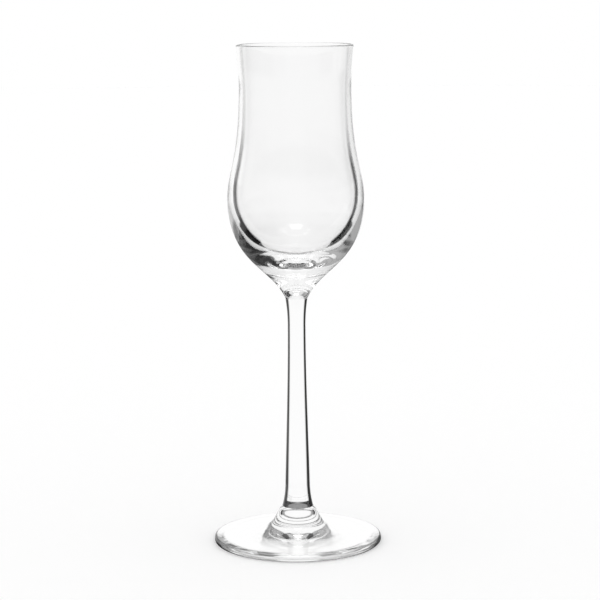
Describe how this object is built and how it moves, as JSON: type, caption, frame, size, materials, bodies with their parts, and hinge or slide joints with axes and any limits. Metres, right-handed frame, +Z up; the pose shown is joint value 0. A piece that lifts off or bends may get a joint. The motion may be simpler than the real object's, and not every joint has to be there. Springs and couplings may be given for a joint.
{
  "type": "grappa glass",
  "caption": "Slender stemmed spirit glass: thin tulip bowl with a waisted, slightly flared lip and a solid base, on a drawn stem and a round spread foot.",
  "frame": {"origin": "centre of the foot on the table", "axes": "+Z up along the axis of the glass, from the foot to the rim"},
  "size_m": [0.0608, 0.0608, 0.18],
  "materials": {
    "clear_glass": "fire-polished, clear"
  },
  "bodies": {
    "root": {"bowl": "clear_glass", "stem": "clear_glass", "foot": "clear_glass"}
  },
  "joints": []
}
